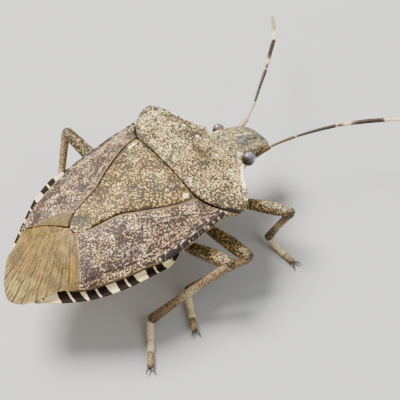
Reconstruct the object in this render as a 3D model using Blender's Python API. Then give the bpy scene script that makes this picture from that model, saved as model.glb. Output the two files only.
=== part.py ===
# Brown marmorated stink bug, a shield bug, life size and standing, as a still museum model.
# It faces -Y, its left side is at +X, and its feet stand on the plane z = 0.
# Every size is in millimetres. A place is given as (x, s, z): x to the bug's left of the
# middle line, s back from the tip of the head, z up from the ground.

import bpy
import bmesh
from math import sin, cos, pi, sqrt
from mathutils import Vector

MM = 0.001
GAP = 0.3                # left between neighbouring pieces
BODY_LENGTH = 16.0       # tip of the head to the wing tips
SHELL = 0.5              # thickness of the plates and wings
RIDGE = 0.09             # height of a wing vein

# Places along the body, measured back from the tip of the head
HEAD_END = 2.33
COLLAR = 2.66            # front edge of the pronotum at the middle line
PRONOTUM_END = 5.9
SCUTELLUM_TIP = 11.72
HIP_SEAM = 7.75          # thorax behind the hind legs' roots
ABDOMEN_END = 14.75
SHOULDER = (4.33, 4.7)   # half width and place of the rear end of each shoulder
FRONT_CORNER = (1.7, 2.42)
CORIUM_CORNER = (2.45, 13.4)     # outer rear tip of the leathery part of a wing
SUTURE_START = (0.85, 11.6)      # inner end of the line between corium and membrane
SEGMENT_ENDS = (8.05, 9.58, 11.08, 12.44, 13.56, ABDOMEN_END)

EYE = dict(at=(1.35, 1.87, 3.93), half=(0.33, 0.33, 0.36), flat_at=1.1)
SOCKET_HALF = 0.8        # half width of the head between the eyes
HEAD_SIDES = 24
CLYPEUS_SHARE = 0.3      # share of the snout taken by its raised middle strip
CLYPEUS_END = 1.4
ANTENNA_RADIUS = 0.25
ROSTRUM_RADIUS = 0.25

FEMUR = dict(radius=0.40, sides=10, bow=0.08)
TIBIA = dict(radius=0.27, sides=8, bow=0.10)
TARSUS = dict(radius=0.25, sides=8)
HIP_RADIUS = 0.5
CLAW_LENGTH = 0.42

COLOURS = {
    "head": (0.23, 0.20, 0.15), "eye": (0.10, 0.07, 0.07), "rostrum": (0.36, 0.27, 0.15),
    "antenna": (0.20, 0.14, 0.09), "pronotum": (0.30, 0.24, 0.17),
    "scutellum": (0.40, 0.34, 0.22), "corium": (0.26, 0.19, 0.16),
    "membrane": (0.36, 0.28, 0.14), "thorax": (0.42, 0.36, 0.25),
    "abdomen": (0.45, 0.38, 0.26), "femur": (0.42, 0.35, 0.22),
    "tibia": (0.34, 0.24, 0.16), "tarsus": (0.50, 0.42, 0.28),
}

# hip, knee, ankle and toe of each leg; x is given for the leg's own side
LEGS = {
    ("front", "right"): ((1.05, 3.8), (4.82, 1.94, 2.8), (3.70, 2.88), (5.70, 2.78)),
    ("middle", "right"): ((1.30, 5.5), (5.47, 5.16, 2.6), (3.65, 8.07), (5.75, 9.10)),
    ("hind", "right"): ((1.55, 7.2), (5.80, 6.40, 3.5), (3.85, 10.50), (6.05, 12.05)),
    ("front", "left"): ((1.05, 3.8), (3.75, 2.70, 2.5), (2.75, 1.30), (3.90, 0.20)),
    ("middle", "left"): ((1.30, 5.5), (4.85, 5.00, 2.2), (3.65, 8.07), (5.60, 9.10)),
    ("hind", "left"): ((1.55, 7.2), (6.68, 8.01, 4.0), (4.57, 10.80), (5.30, 12.40)),
}
HIP_HEIGHT = {"front": 1.95, "middle": 1.8, "hind": 1.8}
ANKLE_HEIGHT = 0.42

# joints of the antennae beyond the first segment, which is one with the head
ANTENNAE = {
    "right": ((-1.05, 0.31, 3.38), (-1.36, -1.18, 3.30), (-2.33, -3.09, 3.48),
              (-4.02, -5.37, 3.61), (-5.57, -7.26, 3.11)),
    "left": ((1.25, 0.07, 3.43), (1.98, -0.98, 3.38), (3.11, -2.66, 3.84),
             (5.00, -4.70, 3.47), (7.02, -5.99, 2.77)),
}
SCAPE_ROOT = (0.76, 1.1, 3.4)


def smooth_through(points):
    """A curve through (place, value) pairs that never overshoots them."""
    xs, ys = zip(*points)
    steps = [(ys[i + 1] - ys[i]) / (xs[i + 1] - xs[i]) for i in range(len(xs) - 1)]
    slopes = [steps[0]]
    for before, after in zip(steps, steps[1:]):
        turns = before * after <= 0
        slopes.append(0.0 if turns else 2 * before * after / (before + after))
    slopes.append(steps[-1])

    def value(x):
        x = min(max(x, xs[0]), xs[-1])
        i = max(k for k in range(len(xs) - 1) if xs[k] <= x)
        width = xs[i + 1] - xs[i]
        t = (x - xs[i]) / width
        return (ys[i] * (1 + 2 * t) * (1 - t) ** 2 + slopes[i] * width * t * (1 - t) ** 2
                + ys[i + 1] * t * t * (3 - 2 * t) + slopes[i + 1] * width * t * t * (t - 1))
    return value


# Heights of the back, of its side edges and of the belly, and half widths seen from above,
# each against the place along the body
back_height = smooth_through([(2.3, 4.3), (3.4, 4.95), (4.6, 5.55), (6, 5.8), (8, 5.75), (10, 5.55),
                              (11.6, 5.3), (13, 4.8), (14.5, 4.25), (16, 3.8)])
edge_height = smooth_through([(5.0, 4.75), (5.5, 4.62), (7, 4.57), (8, 4.47), (11, 4.45), (12, 4.4),
                              (12.8, 4.25), (13.4, 4.12), (16, 3.75)])
crown_half = smooth_through([(2.3, 1.8), (4.4, 4.5), (8, 4.3), (10, 4.05), (12, 3.45), (13.4, 2.8), (16, 2.2)])
wing_half = smooth_through([(5.0, 4.0), (7, 4.12), (8.75, 4.12), (9.4, 4.04), (10, 3.89), (10.7, 3.73),
                            (11.3, 3.56), (12.3, 3.18), (12.8, 2.9), (13.4, 2.42), (13.8, 2.05), (14.4, 1.8),
                            (14.9, 1.55), (15.2, 1.28), (15.6, 0.9), (15.85, 0.5), (16.0, 0.15)])
side_margin = smooth_through([(2.42, 1.7), (2.68, 2.02), (2.9, 2.33), (3.17, 2.77), (3.43, 3.27),
                              (3.73, 3.86), (4.03, 4.24), (4.33, 4.38), (4.7, 4.33)])
margin_height = smooth_through([(2.42, 4.27), (2.68, 4.42), (2.9, 4.5), (3.17, 4.73), (3.43, 4.9),
                                (4.03, 5.0), (4.33, 4.88), (4.7, 4.8)])
abdomen_half = smooth_through([(8.05, 3.4), (8.35, 4.0), (9.05, 4.26), (9.84, 4.18), (10.75, 4.07),
                               (11.55, 3.88), (12.3, 3.54), (13, 3.14), (13.6, 2.7), (14.1, 2.3), (14.75, 1.62)])
# how far the abdomen reaches past its end, against the distance from the middle line
rear_lobes = smooth_through([(0, -0.35), (0.5, -0.2), (1.05, 0.3), (1.4, 0.18), (1.62, 0)])
scutellum_half = smooth_through([(6.2, 2.56), (6.7, 2.47), (7.4, 2.19), (8.1, 1.83), (8.8, 1.43),
                                 (9.45, 1.06), (10.3, 0.84), (11.1, 0.65), (11.5, 0.42), (11.72, 0.1)])
belly_height = smooth_through([(2.75, 2.35), (3.4, 1.95), (7.7, 1.85), (9, 1.65), (10.5, 1.7),
                               (12, 2.0), (13.3, 2.4), (14.3, 2.7), (14.75, 2.8)])
thorax_half = smooth_through([(2.75, 1.35), (3.2, 2.1), (4.0, 2.95), (4.8, 3.3), (5.6, 3.45), (7.75, 3.6)])
rim_height = smooth_through([(8.05, 3.45), (9.05, 3.6), (9.84, 3.95), (10.5, 4.12), (11.55, 4.12),
                             (12.3, 3.98), (13, 3.88), (14.1, 3.76), (14.75, 3.62)])
head_half = smooth_through([(0.0, 0.3), (0.1, 0.58), (0.3, 0.84), (0.5, 0.93), (0.9, 1.0), (1.32, 1.02),
                            (1.46, SOCKET_HALF), (2.2, SOCKET_HALF), (HEAD_END, 0.85)])
head_crown = smooth_through([(0, 2.98), (0.1, 3.15), (0.5, 3.55), (0.9, 3.85), (1.3, 4.08), (1.9, 4.33),
                             (HEAD_END, 4.42)])
head_edge = smooth_through([(0, 2.9), (0.1, 3.0), (0.3, 3.2), (0.5, 3.38), (0.9, 3.62), (1.3, 3.82),
                            (1.9, 4.03), (HEAD_END, 4.08)])
head_belly = smooth_through([(0, 2.6), (0.5, 2.4), (1.3, 2.3), (1.9, 2.3), (HEAD_END, 2.5)])
wing_divide = smooth_through([(12.1, 0.35), (12.5, 0.75), (13.1, 0.8), (13.7, 0.5), (14.4, 0.25),
                              (16, 0.25)])


def wing_drift(s):
    """How far the closed wing tips lie over to the right."""
    return 0.4 * max(0.0, (s - 14.8) / (BODY_LENGTH - 14.8)) ** 0.8


def back_surface(x, s):
    """Height of the bug's upper surface, which falls off towards its side edges."""
    out = min(abs(x) / crown_half(s), 1.0)
    return back_height(s) - (back_height(s) - edge_height(s)) * out ** 2.2


def body_place(x, s, z):
    return Vector((x, s - BODY_LENGTH / 2, z)) * MM


def mix(a, b, t):
    return a + (b - a) * t


def face_outwards(bm):
    bmesh.ops.recalc_face_normals(bm, faces=bm.faces)
    if bm.calc_volume(signed=True) < 0:
        bmesh.ops.reverse_faces(bm, faces=bm.faces)


def finish(bm, name, kind):
    """Turn a finished shape into the node's object, with its own material."""
    face_outwards(bm)
    bmesh.ops.triangulate(bm, faces=bm.faces)
    mesh = bpy.data.meshes.new(name)
    bm.to_mesh(mesh)
    bm.free()
    mesh.shade_smooth()
    mesh.set_sharp_from_angle(angle=0.7)
    node = bpy.data.objects.new(name, mesh)
    bpy.context.scene.collection.objects.link(node)
    material = bpy.data.materials.new(name)
    material.use_nodes = True
    shader = material.node_tree.nodes["Principled BSDF"]
    shader.inputs["Base Color"].default_value = (*COLOURS[kind], 1)
    shader.inputs["Roughness"].default_value = 0.25 if kind == "eye" else 0.55
    shader.inputs["Metallic"].default_value = 0.0
    mesh.materials.append(material)
    return node


def sheet(across, along, top, thickness):
    """A closed plate: top(u, v) gives its upper face, thickness(u, v) how deep it goes."""
    bm = bmesh.new()
    bmesh.ops.create_grid(bm, x_segments=across, y_segments=along, size=1)
    spots = {v: ((v.co.x + 1) / 2, (v.co.y + 1) / 2) for v in bm.verts}
    lower = bmesh.ops.extrude_face_region(bm, geom=list(bm.faces), use_keep_orig=True)["geom"]
    for v in [g for g in lower if isinstance(g, bmesh.types.BMVert)]:
        u, w = (v.co.x + 1) / 2, (v.co.y + 1) / 2
        x, s, z = top(u, w)
        v.co = body_place(x, s, z - thickness(u, w))
    for v, (u, w) in spots.items():
        v.co = body_place(*top(u, w))
    return bm


def skin_over(rings, ruled_ends=False):
    """A closed body over rings of places in the same order; ruled ends join top to bottom."""
    bm = bmesh.new()
    number = bm.verts.layers.int.new("number")
    first = bmesh.ops.create_circle(bm, segments=len(rings[0]), radius=1)["verts"]
    for i, v in enumerate(first):
        v[number] = i
        v.co = body_place(*rings[0][i])
    edges = list(bm.edges)
    ends = [first]
    for ring in rings[1:]:
        grown = bmesh.ops.extrude_edge_only(bm, edges=edges)["geom"]
        verts = {g for g in grown if isinstance(g, bmesh.types.BMVert)}
        edges = [g for g in grown if isinstance(g, bmesh.types.BMEdge) and set(g.verts) <= verts]
        for v in verts:
            v.co = body_place(*ring[v[number]])
        ends = [first, sorted(verts, key=lambda v: v[number])]
    half = len(first) // 2
    for end in ends:
        if not ruled_ends:
            bm.faces.new(end)
            continue
        for i in range(half // 2):
            corners = (i, i + 1, half - 1 - i, half - i)
            bm.faces.new([end[k] for k in corners])
            bm.faces.new([end[-k] for k in corners])
    return bm


def tube(path, radii, sides, start_cut=None, end_cut=None, floor=None):
    """A closed tube along a path of places. A cut (point, normal) slants an end of it."""
    points = [Vector(p) for p in path]
    rings = []
    side = None
    for i, (point, radius) in enumerate(zip(points, radii)):
        ahead = points[min(i + 1, len(points) - 1)] - points[max(i - 1, 0)]
        ahead.normalize()
        if side is None:
            side = ahead.orthogonal().normalized()
        side = (side - ahead * side.dot(ahead)).normalized()
        other = ahead.cross(side)
        cut = start_cut if i == 0 else end_cut if i == len(points) - 1 else None
        ring = []
        for k in range(sides):
            angle = 2 * pi * k / sides
            place = point + (side * cos(angle) + other * sin(angle)) * radius
            if cut:
                place += ahead * ((cut[0] - place).dot(cut[1]) / ahead.dot(cut[1]))
            if floor is not None:
                place.z = max(place.z, floor)
            ring.append(tuple(place))
        rings.append(ring)
    return skin_over(rings)


def fuse(shapes):
    """One Boolean union of closed shapes that leaves their largest closed surface."""
    parts = bpy.data.collections.new("parts")
    bpy.context.scene.collection.children.link(parts)
    objects = []
    for i, shape in enumerate(shapes):
        face_outwards(shape)
        mesh = bpy.data.meshes.new("piece")
        shape.to_mesh(mesh)
        shape.free()
        piece = bpy.data.objects.new("piece", mesh)
        objects.append(piece)
        if i:
            parts.objects.link(piece)
    bpy.context.scene.collection.objects.link(objects[0])
    union = objects[0].modifiers.new("union", "BOOLEAN")
    union.operation = "UNION"
    union.operand_type = "COLLECTION"
    union.collection = parts
    union.solver = "EXACT"
    bpy.context.view_layer.update()
    joined = bmesh.new()
    joined.from_object(objects[0], bpy.context.evaluated_depsgraph_get())
    for piece in objects:
        bpy.data.objects.remove(piece)
    bpy.data.collections.remove(parts)
    keep_largest(joined)
    return joined


def keep_largest(bm):
    """Delete every closed surface but the one with the most faces."""
    left = set(bm.faces)
    groups = []
    while left:
        group, edge = set(), [left.pop()]
        while edge:
            face = edge.pop()
            group.add(face)
            near = {f for e in face.edges for f in e.link_faces if f in left}
            left -= near
            edge.extend(near)
        groups.append(group)
    largest = max(groups, key=len)
    bmesh.ops.delete(bm, geom=[f for f in bm.faces if f not in largest], context="FACES")
    loose = [v for v in bm.verts if not v.link_faces]
    bmesh.ops.delete(bm, geom=loose, context="VERTS")


def rear_margin(x):
    """Rear edge of the pronotum, straight in the middle and drawn forward to the shoulders."""
    inner = 2.3
    out = max(0.0, (abs(x) - inner) / (SHOULDER[0] - inner))
    return PRONOTUM_END - (PRONOTUM_END - SHOULDER[1]) * out ** 1.7


def make_pronotum():
    def top(u, v):
        side = 2 * u - 1
        out = abs(side)
        front_s = COLLAR - (COLLAR - FRONT_CORNER[1]) * out ** 2
        rear_s = rear_margin(SHOULDER[0] * side)
        x = side_margin(mix(FRONT_CORNER[1], SHOULDER[1], v)) * side
        s = mix(front_s, rear_s, v)
        middle = back_height(mix(COLLAR, PRONOTUM_END, v))
        edge = margin_height(mix(FRONT_CORNER[1], SHOULDER[1], v))
        return x, s, middle - (middle - edge) * out ** mix(2.6, 2.0, v)

    def depth(u, v):
        return mix(0.6, SHELL, abs(2 * u - 1))
    return finish(sheet(26, 11, top, depth), "pronotum", "pronotum")


def make_scutellum():
    front = PRONOTUM_END + GAP

    def top(u, v):
        s = mix(front, SCUTELLUM_TIP, sin(v * pi / 2) ** 0.9)
        x = scutellum_half(s) * (2 * u - 1)
        return x, s, back_surface(x, s) + 0.06 * (1 - (2 * u - 1) ** 4)
    return finish(sheet(12, 16, top, lambda u, v: SHELL), "scutellum", "scutellum")


def make_corium(side, sign):
    def top(u, v):
        inner_front, outer_front = 2.85, 3.72
        front = rear_margin(mix(inner_front, outer_front, u)) + GAP
        rear = mix(SUTURE_START[1], CORIUM_CORNER[1], u)
        s = mix(front, rear, v)
        inner = scutellum_half(s) + GAP
        x = mix(inner, wing_half(s), u)
        ridge = RIDGE if round(u * 10) in (4, 7) and 0.05 < v < 0.9 else 0.0
        return sign * x, s, back_surface(x, s) + ridge
    return finish(sheet(10, 15, top, lambda u, v: SHELL), f"corium_{side}", "corium")


def make_membrane(side, sign):
    """Thin rear part of a fore wing; the pair lies a little over to the right."""
    veins = 8 if side == "right" else 4
    front, tip = 12.1, BODY_LENGTH if side == "right" else 15.45

    def outer_edge(s):
        slope = (CORIUM_CORNER[0] - SUTURE_START[0]) / (CORIUM_CORNER[1] - SUTURE_START[1])
        setback = GAP * sqrt(1 + slope ** 2) / slope
        beside_corium = SUTURE_START[0] + slope * (s - SUTURE_START[1] - setback)
        return min(beside_corium, wing_half(s) - sign * wing_drift(s))

    def top(u, v):
        s = mix(front, tip, sin(v * pi / 2))
        if side == "right":
            inner = min(wing_divide(s), wing_half(s) - wing_drift(s))
            x = mix(inner, -outer_edge(s), u)
        else:
            inner = wing_divide(s) + GAP
            x = mix(inner, max(outer_edge(s), inner + 0.08), u)
        ridge = RIDGE * (1 - v ** 4) if round(u * 2 * veins) % 2 else 0.0
        return x, s, back_surface(x, s) + ridge
    return finish(sheet(2 * veins, 11, top, lambda u, v: mix(SHELL, 0.35, v)),
                  f"membrane_{side}", "membrane")


def make_abdomen():
    under_wings = SHELL + GAP + 0.02

    def ring(s, notch, lobed):
        half = abdomen_half(s) - 0.07 * notch
        rim = rim_height(s) - 0.12 * notch
        cover = wing_half(s)
        edges = (min(cover + 0.15, half - 0.12), min(cover + 0.35, half - 0.06), half)
        top = [(x, s + lobed * rear_lobes(x)) for x in (0.0, cover * 0.4, cover * 0.8, *edges)]
        places = []
        for k, (x, back) in enumerate(top):
            under = back_surface(x, back) - under_wings
            lies_under = k < 4 or x < wing_half(back) + wing_drift(back) + GAP
            places.append((x, back, min(under, rim) if lies_under else rim))
        low_edge = places[-1][2] - 0.28
        for share in (1.0, 0.93, 0.76, 0.55, 0.3, 0.0):
            x = half * share
            z = mix(belly_height(s), low_edge, share ** 1.7)
            places.append((x, s + lobed * rear_lobes(x), z))
        return places + [(-x, back, z) for x, back, z in places[-2:0:-1]]

    rings = []
    for start, end in zip(SEGMENT_ENDS, SEGMENT_ENDS[1:]):
        last = end == ABDOMEN_END
        rings.append(ring(start, 1, 0))
        for s, lobed in ((start + 0.1, 0), (mix(start, end, 0.35), 0.15),
                         (mix(start, end, 0.65), 0.4), (end - 0.1, 0.85)):
            rings.append(ring(s, 0, lobed if last else 0))
    rings.append(ring(ABDOMEN_END, 1, 1))
    return finish(skin_over(rings, ruled_ends=True), "abdomen", "abdomen")


def hip_of(pair, sign):
    x, s = LEGS[pair, "right"][0]
    return Vector((sign * x, s, HIP_HEIGHT[pair]))


def make_thorax():
    under_plates = 0.6 + GAP + 0.15

    def ring(s):
        half = thorax_half(s)
        edge = back_surface(half, s) - under_plates
        top = [(half * t, back_surface(half * t, s) - under_plates) for t in (0, 0.35, 0.7, 0.9, 1)]
        low_edge = edge - 0.35
        below = []
        for share in (0.97, 0.75, 0.5, 0.28, 0.0):
            slope = max(0.0, (share - 0.25) / 0.75)
            below.append((half * share, mix(belly_height(s), low_edge, slope)))
        half_ring = top + below
        other = [(-x, z) for x, z in half_ring[-2:0:-1]]
        return [(x, s, z) for x, z in half_ring + other]

    shapes = [skin_over([ring(s) for s in (COLLAR, 3.0, 3.4, 3.9, 4.5, 5.2, 6.0, 6.9, HIP_SEAM)])]
    for pair in ("front", "middle", "hind"):
        for sign in (-1, 1):
            shapes.append(make_hip(hip_of(pair, sign)))
    return finish(fuse(shapes), "thorax", "thorax")


def make_hip(place):
    """The round coxa that a leg turns on, its upper half sunk in the thorax."""
    ball = bmesh.new()
    bmesh.ops.create_icosphere(ball, subdivisions=2, radius=HIP_RADIUS * MM)
    bmesh.ops.translate(ball, vec=body_place(*place), verts=ball.verts)
    return ball


def make_head():
    """Flat above with round shoulders to it, and drawn in below towards the beak."""
    def ring(s):
        half, crown, edge, belly = head_half(s), head_crown(s), head_edge(s), head_belly(s)
        places = []
        for k in range(HEAD_SIDES):
            angle = 2 * pi * k / HEAD_SIDES
            across, up = cos(angle), sin(angle)
            if up >= 0:
                ridge = 0.08 if abs(across) < CLYPEUS_SHARE and s < CLYPEUS_END else 0.0
                x, z = half * abs(across) ** 0.7, edge + (crown - edge) * up ** 0.6 + ridge
            else:
                x, z = half * abs(across) ** 1.4, edge - (edge - belly) * abs(up) ** 0.8
            places.append((x if across > 0 else -x, s, z))
        return places

    stations = (0.0, 0.05, 0.15, 0.3, 0.5, 0.8, 1.1, 1.32, 1.46, 1.9, 2.2, HEAD_END)
    shapes = [skin_over([ring(s) for s in stations])]
    for side, sign in (("left", 1), ("right", -1)):
        root = Vector((sign * SCAPE_ROOT[0], *SCAPE_ROOT[1:]))
        joint = Vector(ANTENNAE[side][0])
        out = (joint - root).normalized()
        end = joint - out * GAP / 2
        path = [mix(root, end, t) for t in (0, 0.3, 0.6, 1)]
        shapes.append(tube(path, (0.22, 0.25, 0.25, 0.22), 8))
    return finish(fuse(shapes), "head", "head")


def make_eye(side, sign):
    """Bulging compound eye with a flat back that faces the side of the head."""
    bm = bmesh.new()
    bmesh.ops.create_icosphere(bm, subdivisions=2, radius=1)
    for v in bm.verts:
        x, s, z = (a * h for a, h in zip(v.co, EYE["half"]))
        v.co = body_place(sign * (EYE["at"][0] + x), EYE["at"][1] + s, EYE["at"][2] + z)
    plane = body_place(sign * EYE["flat_at"], 0, 0)
    cut = bmesh.ops.bisect_plane(bm, geom=[*bm.verts, *bm.edges, *bm.faces], dist=1e-7,
                                 plane_co=plane, plane_no=(-sign, 0, 0), clear_outer=True)
    rim = [g for g in cut["geom_cut"] if isinstance(g, bmesh.types.BMEdge)]
    bmesh.ops.contextual_create(bm, geom=rim)
    return finish(bm, f"eye_{side}", "eye")


def make_rostrum():
    """The beak, folded back under the head and between the legs' roots."""
    path = [(0, 0.55, 1.95), (0, 1.3, 1.78), (0, 2.2, 1.5), (0, 3.2, 1.3), (0, 4.4, 1.24),
            (0, 5.6, 1.24), (0, 6.6, 1.24), (0, 6.9, 1.24)]
    radii = [ROSTRUM_RADIUS * share for share in (0.9, 1, 1, 0.95, 1, 0.95, 0.85, 0.5)]
    return finish(tube(path, radii, 8), "rostrum", "rostrum")


def bent_path(joints, steps):
    """Places along straight stretches between joints, rounded a little at each joint."""
    points = [Vector(j) for j in joints]
    path = [points[0]]
    for a, b in zip(points, points[1:]):
        path += [mix(a, b, t / steps) for t in range(1, steps)]
        path.append(b)
    return path


def make_antenna(side):
    """Four segments, each thinner at its root, with the first joint left clear of the head."""
    joints = [Vector(j) for j in ANTENNAE[side]]
    first = (joints[1] - joints[0]).normalized()
    joints[0] = joints[0] + first * GAP / 2
    steps = 5
    path = bent_path(joints, steps)
    radii = []
    for i in range(len(path)):
        along = (i % steps) / steps
        radii.append(ANTENNA_RADIUS * (0.84 + 0.16 * sin(pi * along)))
    radii[-1] = ANTENNA_RADIUS * 0.45
    return finish(tube(path, radii, 8), f"antenna_{side}", "antenna")


def leg_joints(pair, side):
    sign = 1 if side == "left" else -1
    hip, knee, ankle, toe = LEGS[pair, side]
    return (Vector((sign * hip[0], hip[1], HIP_HEIGHT[pair])),
            Vector((sign * knee[0], *knee[1:])),
            Vector((sign * ankle[0], ankle[1], ANKLE_HEIGHT)),
            Vector((sign * toe[0], toe[1], 0.2)))


def bowed(start, end, rise, shares):
    """Places from start to end that arch upwards in between."""
    return [mix(start, end, t) + Vector((0, 0, rise * sin(pi * t))) for t in shares]


def make_femur(pair, side):
    hip, knee, _, _ = leg_joints(pair, side)
    out = (knee - hip).normalized()
    root = hip + out * (HIP_RADIUS + GAP)
    shares = (0, 0.08, 0.16, 0.3, 0.5, 0.7, 0.88, 0.97, 1)
    girth = (0.75, 0.85, 0.75, 0.95, 1.05, 1.0, 0.85, 0.8, 0.45)
    radii = [FEMUR["radius"] * g for g in girth]
    path = bowed(root, knee, FEMUR["bow"], shares)
    return finish(tube(path, radii, FEMUR["sides"]), f"femur_{pair}_{side}", "femur")


def shin_ends(pair, side):
    """Root and end planes of the tibia: along the femur's side, and mitred at the ankle."""
    hip, knee, ankle, toe = leg_joints(pair, side)
    thigh = (knee - hip).normalized()
    shin = (ankle - knee).normalized()
    foot = (toe - ankle).normalized()
    away = (shin - thigh * shin.dot(thigh)).normalized()
    root = knee + away * (FEMUR["radius"] * 0.85 + GAP)
    mitre = (shin + foot).normalized()
    return root, away, mitre


def make_tibia(pair, side):
    _, knee, ankle, _ = leg_joints(pair, side)
    root, away, mitre = shin_ends(pair, side)
    shin = (ankle - knee).normalized()
    start = knee + shin * ((root - knee).dot(away) / shin.dot(away))
    end = ankle - mitre * GAP / 2
    shares = (0, 0.12, 0.3, 0.5, 0.7, 0.88, 1)
    girth = (0.95, 1.0, 0.92, 0.9, 0.92, 1.0, 0.98)
    radii = [TIBIA["radius"] * g for g in girth]
    path = bowed(start, end, TIBIA["bow"], shares)
    shape = tube(path, radii, TIBIA["sides"], (root, away), (end, mitre))
    return finish(shape, f"tibia_{pair}_{side}", "tibia")


def make_tarsus(pair, side):
    """Foot of three joints that lies flat on the ground, with two claws."""
    _, _, ankle, toe = leg_joints(pair, side)
    _, _, mitre = shin_ends(pair, side)
    foot = (toe - ankle).normalized()
    start = ankle + mitre * GAP / 2
    shares = (0, 0.24, 0.35, 0.42, 0.5, 0.6, 0.68, 0.8, 0.93, 1)
    girth = (1.0, 1.0, 1.0, 0.82, 0.95, 0.95, 0.82, 1.0, 0.95, 0.6)
    path = [mix(start, toe, t) for t in shares]
    for i, t in enumerate(shares):
        if i:
            path[i].z = mix(ANKLE_HEIGHT, 0.2, min(1.0, t / 0.35))
    radii = [TARSUS["radius"] * g for g in girth]
    shapes = [tube(path, radii, TARSUS["sides"], (start, mitre), floor=0.0)]
    level = Vector((foot.x, foot.y, 0)).normalized()
    across = Vector((-level.y, level.x, 0))
    for spread in (-1, 1):
        root = toe - level * 0.15 + across * spread * 0.08
        tip = toe + level * CLAW_LENGTH * 0.8 + across * spread * CLAW_LENGTH * 0.7
        middle = mix(root, tip, 0.5) + Vector((0, 0, 0.1))
        root.z = 0.2
        tip.z = 0.06
        shapes.append(tube([root, middle, tip], (0.12, 0.09, 0.03), 6))
    return finish(fuse(shapes), f"tarsus_{pair}_{side}", "tarsus")


def stand_on_origin(nodes):
    """Move all shapes so that the middle of the whole box is above the origin."""
    places = [v.co for node in nodes for v in node.data.vertices]
    middle_x = (min(p.x for p in places) + max(p.x for p in places)) / 2
    middle_y = (min(p.y for p in places) + max(p.y for p in places)) / 2
    low = min(p.z for p in places)
    for node in nodes:
        for v in node.data.vertices:
            v.co -= Vector((middle_x, middle_y, low))


def main():
    for thing in list(bpy.data.objects):
        bpy.data.objects.remove(thing)
    nodes = [make_head(), make_rostrum(), make_pronotum(), make_scutellum(), make_thorax(),
             make_abdomen()]
    for side, sign in (("left", 1), ("right", -1)):
        nodes += [make_eye(side, sign), make_antenna(side), make_corium(side, sign),
                  make_membrane(side, sign)]
        for pair in ("front", "middle", "hind"):
            nodes += [make_femur(pair, side), make_tibia(pair, side), make_tarsus(pair, side)]
    stand_on_origin(nodes)


main()
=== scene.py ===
from bisect import bisect_right
from math import atan2, cos, pi, sin

import bmesh
import bpy
from mathutils import Matrix, Vector, noise


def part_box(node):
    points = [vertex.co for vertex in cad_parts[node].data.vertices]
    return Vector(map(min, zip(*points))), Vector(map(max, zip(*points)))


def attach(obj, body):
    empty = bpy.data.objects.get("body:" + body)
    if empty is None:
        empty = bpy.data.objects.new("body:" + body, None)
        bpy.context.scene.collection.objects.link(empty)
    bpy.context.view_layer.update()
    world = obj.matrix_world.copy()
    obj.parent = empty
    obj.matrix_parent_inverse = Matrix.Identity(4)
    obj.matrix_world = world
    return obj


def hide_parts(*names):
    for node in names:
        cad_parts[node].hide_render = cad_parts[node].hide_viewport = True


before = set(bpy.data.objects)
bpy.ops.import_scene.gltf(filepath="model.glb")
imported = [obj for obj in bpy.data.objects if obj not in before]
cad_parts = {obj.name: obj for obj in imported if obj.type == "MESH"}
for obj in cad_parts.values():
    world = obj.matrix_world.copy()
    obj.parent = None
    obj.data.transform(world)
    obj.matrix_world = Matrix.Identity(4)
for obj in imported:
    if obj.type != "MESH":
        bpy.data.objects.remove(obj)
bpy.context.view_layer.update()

# A brown marmorated stink bug. Places are (x, s, z) in millimetres: x to the bug's left of
# its middle line, s back from the tip of the head, z up from the floor.
mm = 0.001
bodyLength = 16.0
middleX = (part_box("pronotum")[0].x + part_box("pronotum")[1].x) / 2
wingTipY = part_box("membrane_right")[1].y
sides = {"left": 1, "right": -1}


def bothSides(make, *extra):
    for side, sign in sides.items():
        make(side, sign, *extra)


def place(x, s, z):
    return Vector((middleX + x * mm, wingTipY + (s - bodyLength) * mm, z * mm))


def unplace(co):
    return (co.x - middleX) / mm, (co.y - wingTipY) / mm + bodyLength, co.z / mm


def mix(a, b, t):
    return a + (b - a) * t


def ramp(low, high, value):  # 0 below low, 1 above high, smooth between
    t = min(max((value - low) / (high - low), 0.0), 1.0)
    return t * t * (3 - 2 * t)


def fade(low, high, value):  # 1 below low, 0 above high, smooth between
    return 1 - ramp(low, high, value)


def bump(centre, width, value):  # 1 at the centre, fading to 0 at the width
    return fade(0, width, abs(value - centre))


def curveThrough(*points):  # smooth curve that never overshoots its points
    xs, ys = zip(*points)
    steps = [(ys[i + 1] - ys[i]) / (xs[i + 1] - xs[i]) for i in range(len(xs) - 1)]
    slopes = [steps[0]]
    for before, after in zip(steps, steps[1:]):
        slopes.append(2 * before * after / (before + after) if before * after > 0 else 0.0)
    slopes.append(steps[-1])

    def value(x):
        x = min(max(x, xs[0]), xs[-1])
        i = min(bisect_right(xs, x) - 1, len(xs) - 2)
        width = xs[i + 1] - xs[i]
        t = (x - xs[i]) / width
        return (ys[i] * (1 + 2 * t) * (1 - t) ** 2 + slopes[i] * width * t * (1 - t) ** 2
                + ys[i + 1] * t * t * (3 - 2 * t) + slopes[i + 1] * width * t * t * (t - 1))
    return value


def off(x, s):  # length of a step across and along the body
    return (x * x + s * s) ** 0.5


def spot(x, s, size):  # 1 at a place, given by the steps from it, fading to 0 at that size
    return bump(0, size, off(x, s))


def spotsAt(places, x, s, size):
    return max(spot(x - cx, s - cs, size) for cx, cs in places)


def grain(x, s, z, size, shift=0.0):  # smooth noise from -1 to 1 with lumps of that size
    return noise.noise(Vector((x / size + shift, s / size, z / size - shift)))


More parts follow.
